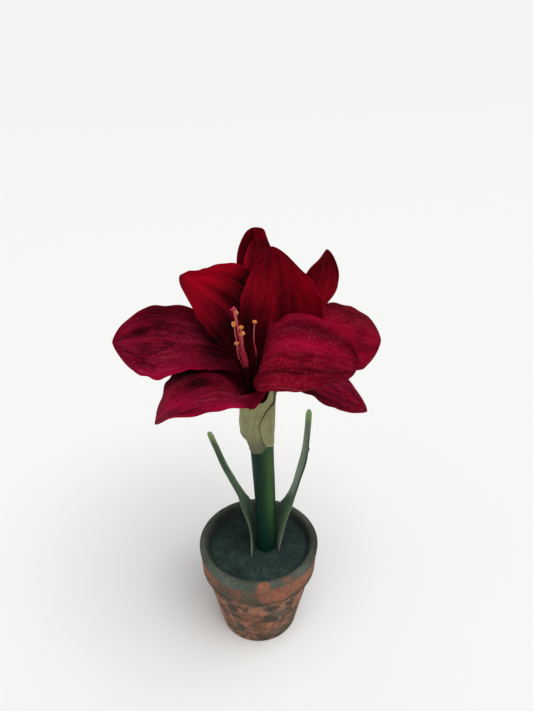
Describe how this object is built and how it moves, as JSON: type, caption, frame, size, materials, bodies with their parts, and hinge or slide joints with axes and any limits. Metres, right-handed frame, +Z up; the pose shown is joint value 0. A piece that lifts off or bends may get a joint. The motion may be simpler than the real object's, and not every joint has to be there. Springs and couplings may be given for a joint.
{
  "type": "potted amaryllis",
  "caption": "Flowering amaryllis bulb in a terracotta pot: a stout green scape, strap leaves, a papery bract and wide dark red trumpet blooms.",
  "frame": {"origin": "middle of the pot's flat underside", "axes": "+Z up, -Y towards the front of the open bloom, +X to its right as seen from the front"},
  "size_m": [0.2162, 0.157, 0.3682],
  "materials": {
    "terracotta": "matt fired clay with a grey-green patina",
    "soil": "damp peaty soil with moss",
    "bulb_skin": "dry brown tunic",
    "stem_green": "smooth waxy stem",
    "leaf_green": "smooth waxy leaf",
    "bract": "dull papery bract",
    "petal_red": "velvety petal",
    "stamen_red": "smooth filaments with dusty anthers"
  },
  "bodies": {
    "root": {"pot": "terracotta", "soil": "soil", "bulb": "bulb_skin", "scape": "stem_green", "pedicel_front": "stem_green", "pedicel_back": "stem_green", "leaf_left": "leaf_green", "leaf_right": "leaf_green", "bract_left": "bract", "bract_right": "bract", "bloom_front": "petal_red", "bloom_back": "petal_red", "stamens_front": "stamen_red", "stamens_back": "stamen_red"}
  },
  "joints": []
}
